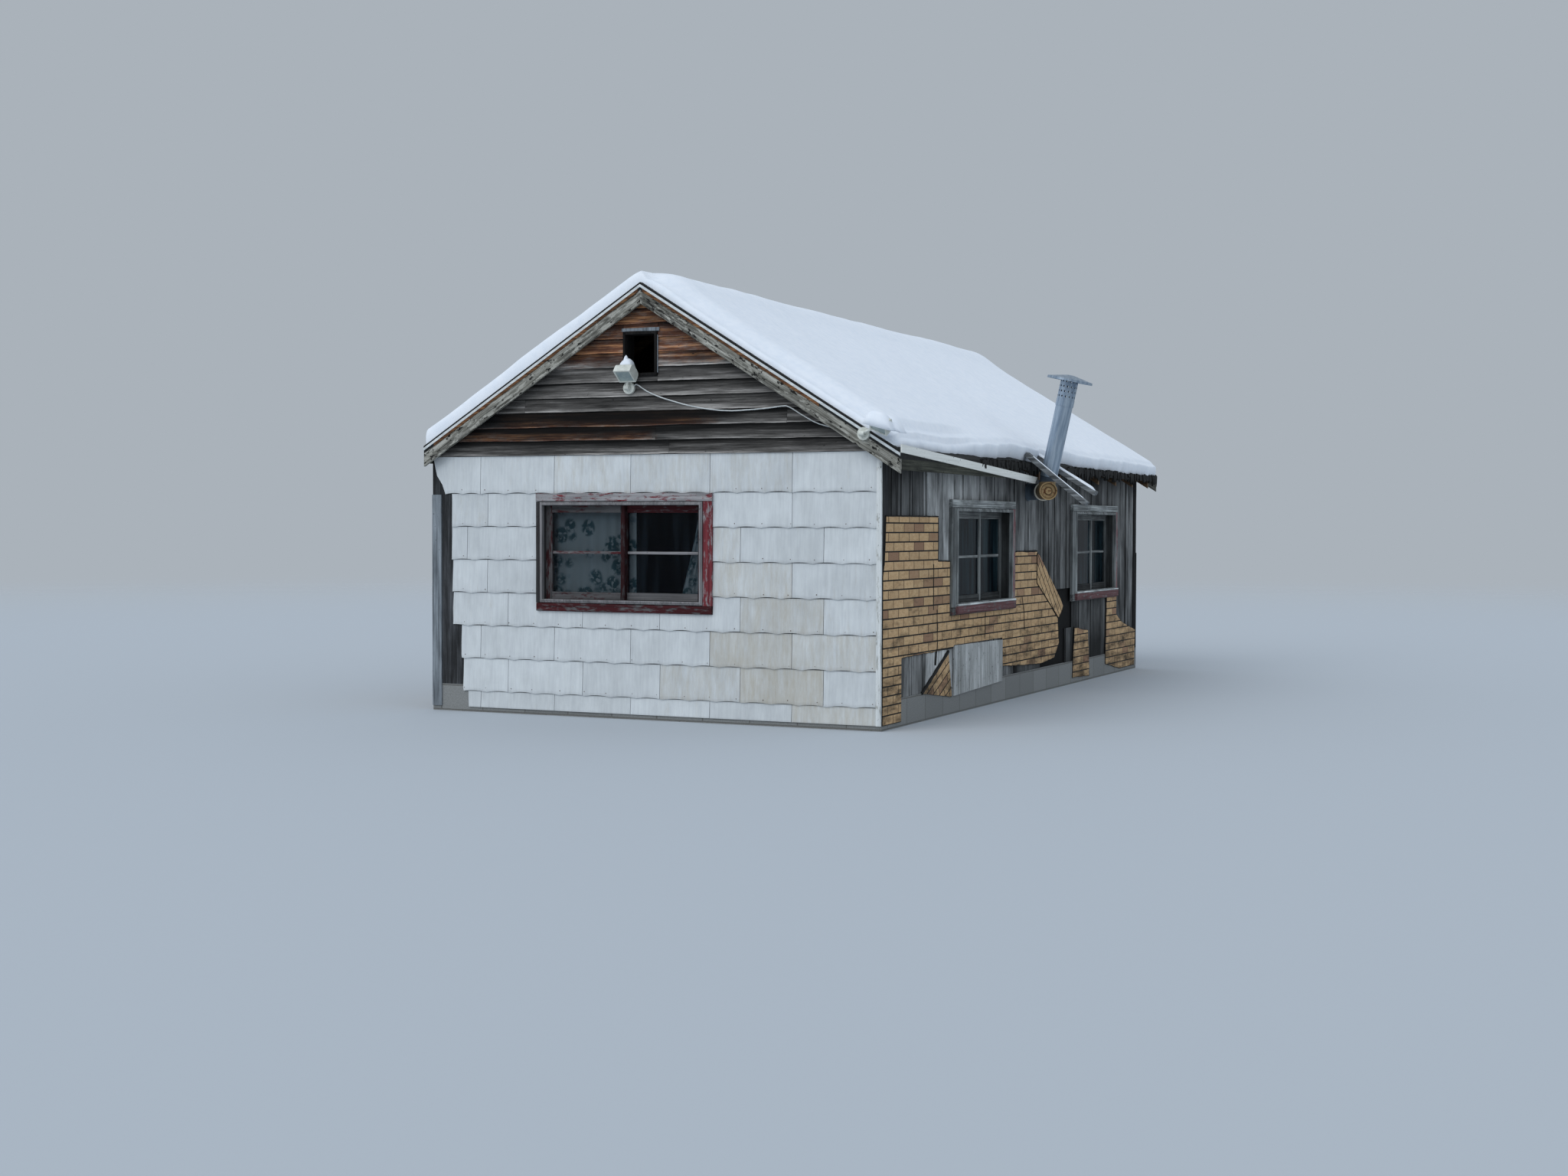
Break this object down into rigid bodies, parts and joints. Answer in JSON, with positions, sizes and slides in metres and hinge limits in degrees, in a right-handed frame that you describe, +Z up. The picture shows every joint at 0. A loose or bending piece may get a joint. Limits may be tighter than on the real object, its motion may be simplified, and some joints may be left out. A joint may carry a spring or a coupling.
{
  "type": "ice fishing hut",
  "caption": "Small gabled timber fishing hut with shingle, lap and brick-pattern siding, sash windows, a leaning stovepipe and snow on its roof.",
  "frame": {"origin": "on the ground, in the middle of the front foundation wall's underside", "axes": "+Z up, +Y from the front gable wall to the back, +X to the right seen from the front"},
  "size_m": [4.6998, 7.7851, 3.4791],
  "materials": {
    "block": "weathered concrete block",
    "floor_boards": "bare worn boards",
    "wall_boards": "upright boards, weathered dark grey",
    "sheathing": "weathered sheathing",
    "lap_siding": "lap boards, weathered grey and black with red-brown patches",
    "rafter_wood": "sawn timber, weathered",
    "roofing": "rotted black roofing on boards",
    "snow": "settled snow",
    "rake_wood": "weathered board with lichen and flaking paint",
    "white_trim": "white painted strip, dirty",
    "shingle": "pale fibre-cement shingles with a combed grain",
    "grey_board": "bare grey board",
    "brick_sheet": "asphalt-coated sheet with a pressed buff brick pattern",
    "plywood": "weathered plywood",
    "window_wood": "wood with flaking maroon and grey paint",
    "pane": "dusty window glass",
    "curtain": "thin printed cotton",
    "door_wood": "plank door, weathered brown",
    "vent_wood": "thin weathered frame",
    "lamp_housing": "off-white moulded housing",
    "cable": "white sheathed cable",
    "rusty_steel": "rusting sheet steel",
    "galvanised": "galvanised sheet, dulled"
  },
  "bodies": {
    "root": {"foundation_front": "block", "foundation_back": "block", "foundation_left": "block", "foundation_right": "block", "floor": "floor_boards", "front_wall": "sheathing", "back_wall": "wall_boards", "left_wall": "wall_boards", "right_wall": "wall_boards", "front_gable": "lap_siding", "back_gable": "lap_siding", "rafters_left": "rafter_wood", "rafters_right": "rafter_wood", "ridge_board": "rafter_wood", "roof_left": "roofing", "roof_right": "roofing", "roof_snow_left": "snow", "roof_snow_right": "snow", "front_rake_left": "rake_wood", "front_rake_right": "rake_wood", "back_rake_left": "rake_wood", "back_rake_right": "rake_wood", "fascia_left": "rake_wood", "fascia_right": "rake_wood", "loose_fascia": "white_trim", "front_shingles": "shingle", "corner_trim": "white_trim", "corner_board": "grey_board", "brick_siding_front": "brick_sheet", "brick_siding_rear": "brick_sheet", "brick_siding_loose": "brick_sheet", "brick_siding_left": "brick_sheet", "brick_siding_back": "brick_sheet", "plywood_patch": "plywood", "front_window": "window_wood", "front_window_glass": "pane", "front_curtains": "curtain", "right_windows": "window_wood", "right_window_glass": "pane", "left_windows": "window_wood", "left_window_glass": "pane", "door": "door_wood", "door_casing": "grey_board", "gable_vent": "vent_wood", "floodlight_gable": "lamp_housing", "floodlight_eave": "lamp_housing", "light_cable": "cable", "stovepipe_tee": "rusty_steel", "stovepipe": "galvanised", "stovepipe_cap": "galvanised", "pipe_braces": "grey_board"}
  },
  "joints": []
}
